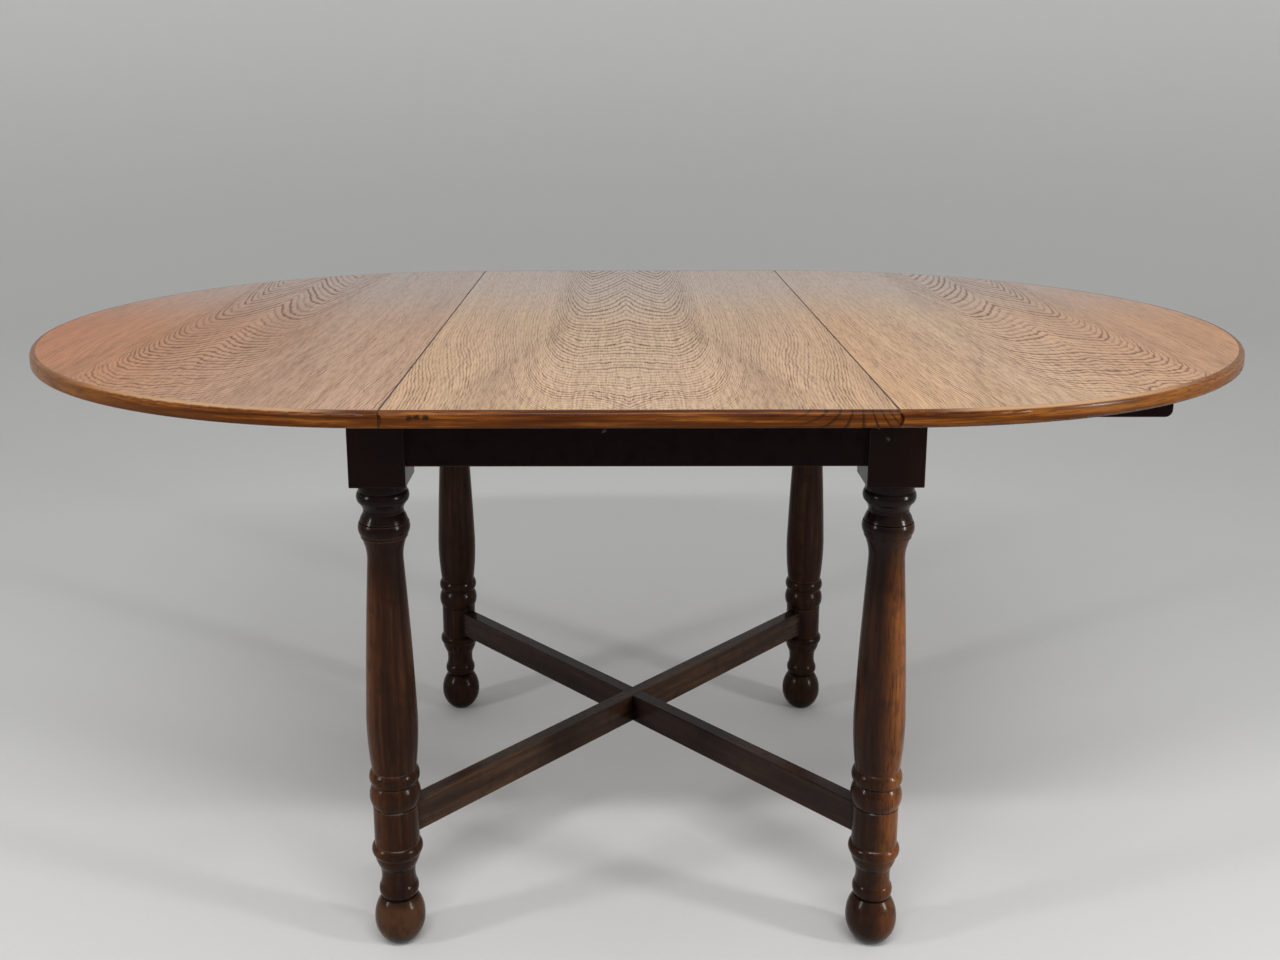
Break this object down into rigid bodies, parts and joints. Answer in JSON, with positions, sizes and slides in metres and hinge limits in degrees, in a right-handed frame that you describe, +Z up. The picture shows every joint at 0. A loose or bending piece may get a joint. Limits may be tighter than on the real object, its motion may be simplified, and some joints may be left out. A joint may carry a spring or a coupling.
{
  "type": "extending table",
  "caption": "Round-ended oak extending table: half-round ends slide apart on runners around a loose leaf, over a dark base with turned legs and a crossed stretcher.",
  "frame": {"origin": "on the floor under the middle of the table", "axes": "+X along the table towards the right end, +Y from front to back, +Z up"},
  "size_m": [1.5858, 1.068, 0.74],
  "materials": {
    "veneered_board": "satin lacquer over veneer",
    "lipping": "satin lacquer, worn edges",
    "dark_oak": "dark stain with a satin polish",
    "plain_oak": "bare, sanded",
    "steel": "plain, dulled"
  },
  "bodies": {
    "base": {"leg_front_left": "dark_oak", "leg_front_right": "dark_oak", "leg_back_left": "dark_oak", "leg_back_right": "dark_oak", "rail_front": "dark_oak", "rail_back": "dark_oak", "rail_left": "dark_oak", "rail_right": "dark_oak", "bearer_left": "plain_oak", "bearer_right": "plain_oak", "stretcher_lower_notched": "dark_oak", "stretcher_upper_notched": "dark_oak"},
    "left_end": {"left_end_board": "veneered_board", "left_end_rim": "lipping", "left_end_edge_strip": "lipping", "left_end_outer_runner": "dark_oak", "left_end_inner_runner": "dark_oak", "left_end_outer_stop_peg": "plain_oak", "left_end_inner_stop_peg": "plain_oak", "left_end_runner_screws": "steel"},
    "right_end": {"right_end_board": "veneered_board", "right_end_rim": "lipping", "right_end_edge_strip": "lipping", "right_end_outer_runner": "dark_oak", "right_end_inner_runner": "dark_oak", "right_end_outer_stop_peg": "plain_oak", "right_end_inner_stop_peg": "plain_oak", "right_end_runner_screws": "steel"},
    "leaf": {"leaf_board": "veneered_board", "leaf_left_strip": "lipping", "leaf_right_strip": "lipping", "leaf_front_lipping": "lipping", "leaf_back_lipping": "lipping"}
  },
  "joints": [
    {"name": "left_end_slide", "type": "slide", "parent": "base", "child": "left_end", "axis": [-1, 0, 0], "range_m": [0, 0.05]},
    {"name": "right_end_slide", "type": "slide", "parent": "base", "child": "right_end", "axis": [1, 0, 0], "range_m": [0, 0.05]},
    {"name": "leaf_slide", "type": "slide", "parent": "base", "child": "leaf", "axis": [0, 1, 0], "range_m": [-0.3, 0.3]}
  ]
}
